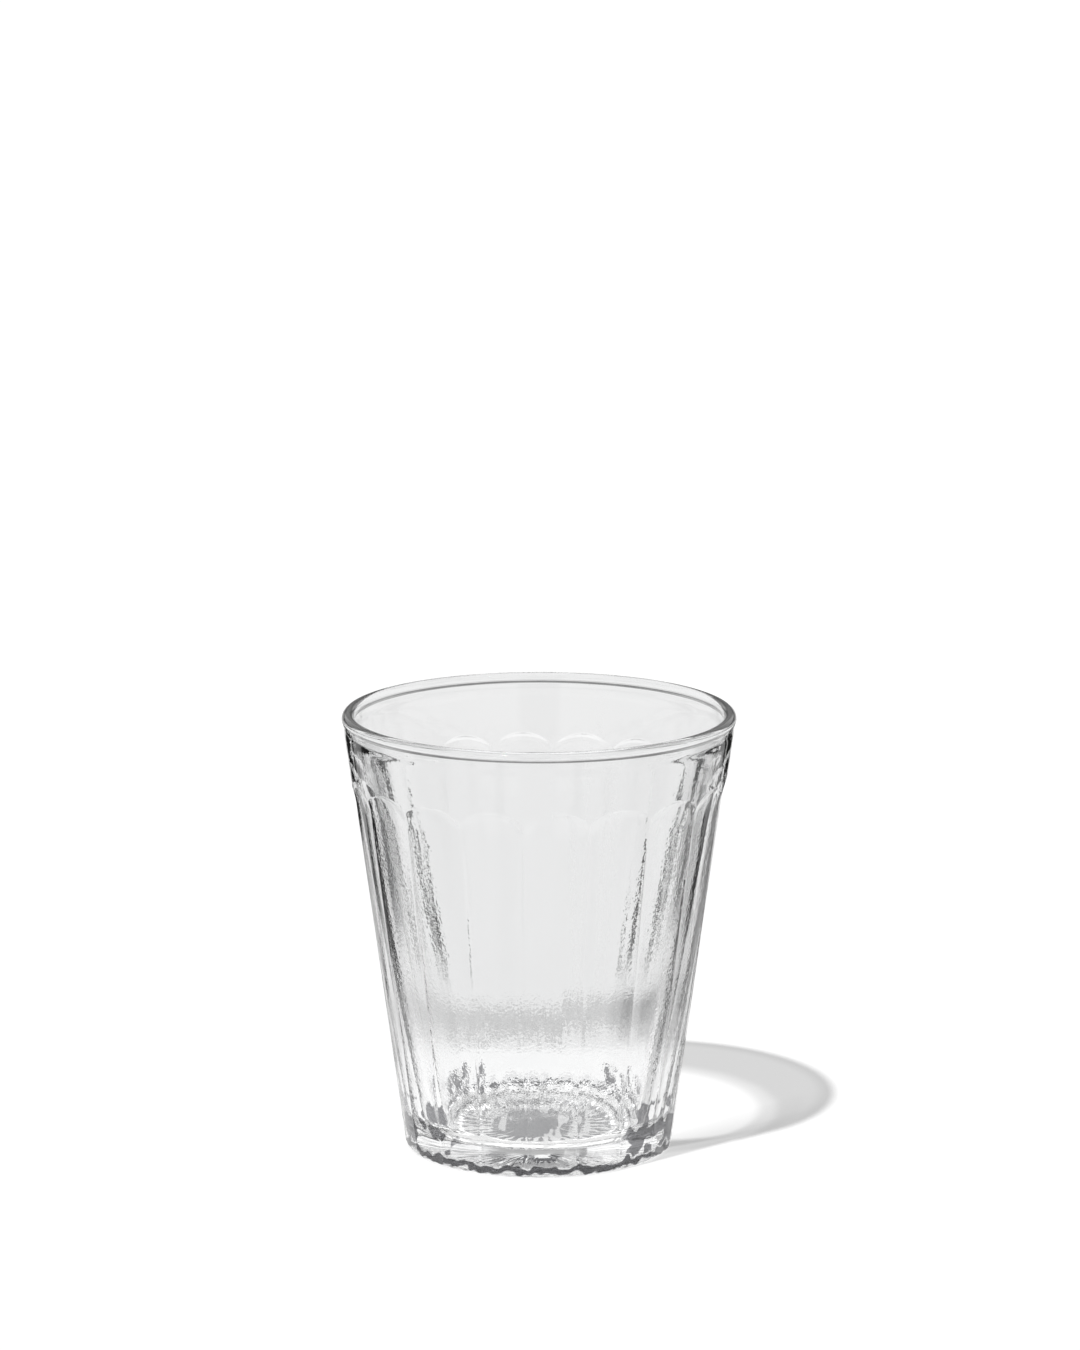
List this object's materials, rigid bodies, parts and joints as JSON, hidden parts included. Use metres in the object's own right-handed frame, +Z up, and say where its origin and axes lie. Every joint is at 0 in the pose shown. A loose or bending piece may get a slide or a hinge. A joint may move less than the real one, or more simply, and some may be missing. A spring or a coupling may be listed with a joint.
{
  "type": "water glass",
  "caption": "Tapered drinking tumbler of clear pressed glass with a round rim bead, a plain collar, arch-topped flutes and a thick dished base.",
  "frame": {"origin": "centre of the bearing ring, on the table", "axes": "+Z up along the glass's axis, -Y towards the front of the glass as pictured"},
  "size_m": [0.085, 0.085, 0.096],
  "materials": {
    "clear_glass": "fire-polished clear soda-lime glass, colourless, faintly rippled by the mould"
  },
  "bodies": {
    "root": {"rim": "clear_glass", "collar": "clear_glass", "fluted_wall": "clear_glass", "base": "clear_glass", "bearing_ring": "clear_glass"}
  },
  "joints": []
}
